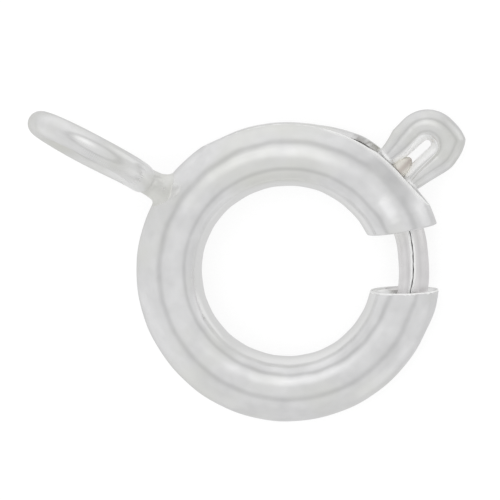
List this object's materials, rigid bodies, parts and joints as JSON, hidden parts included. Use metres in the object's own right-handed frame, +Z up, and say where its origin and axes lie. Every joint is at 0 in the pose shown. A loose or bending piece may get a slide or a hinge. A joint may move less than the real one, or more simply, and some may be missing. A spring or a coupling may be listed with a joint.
{
  "type": "spring ring clasp",
  "caption": "Round hollow clasp ring whose gap is closed by a sprung sliding bolt, with a small thumb eye in an outer slot and a soldered loop for a chain.",
  "frame": {"origin": "centre of the ring, where what the clasp holds passes through", "axes": "Z up as the clasp lies on its side at rest, X along the clasp from the attachment loop at -X through the ring, Y towards the trigger"},
  "size_m": [0.0089, 0.0074, 0.0028],
  "materials": {
    "polished_silver": "bright polished silver with faint hand-polishing marks",
    "bolt_silver": "bright polished silver wire, seamed, a little darker in the seam",
    "spring_steel": "dull drawn spring steel"
  },
  "bodies": {
    "ring": {"ring_body": "polished_silver", "spring": "spring_steel"},
    "bolt": {"bolt": "bolt_silver"}
  },
  "joints": [
    {"name": "bolt_slide", "type": "hinge", "parent": "ring", "child": "bolt", "pos_m": [0, 0, 0], "axis": [0.1051, 0, 0.9945], "range_deg": [0, 40], "stiffness_Nm_per_rad": 0.002, "deforming": ["spring"]}
  ]
}
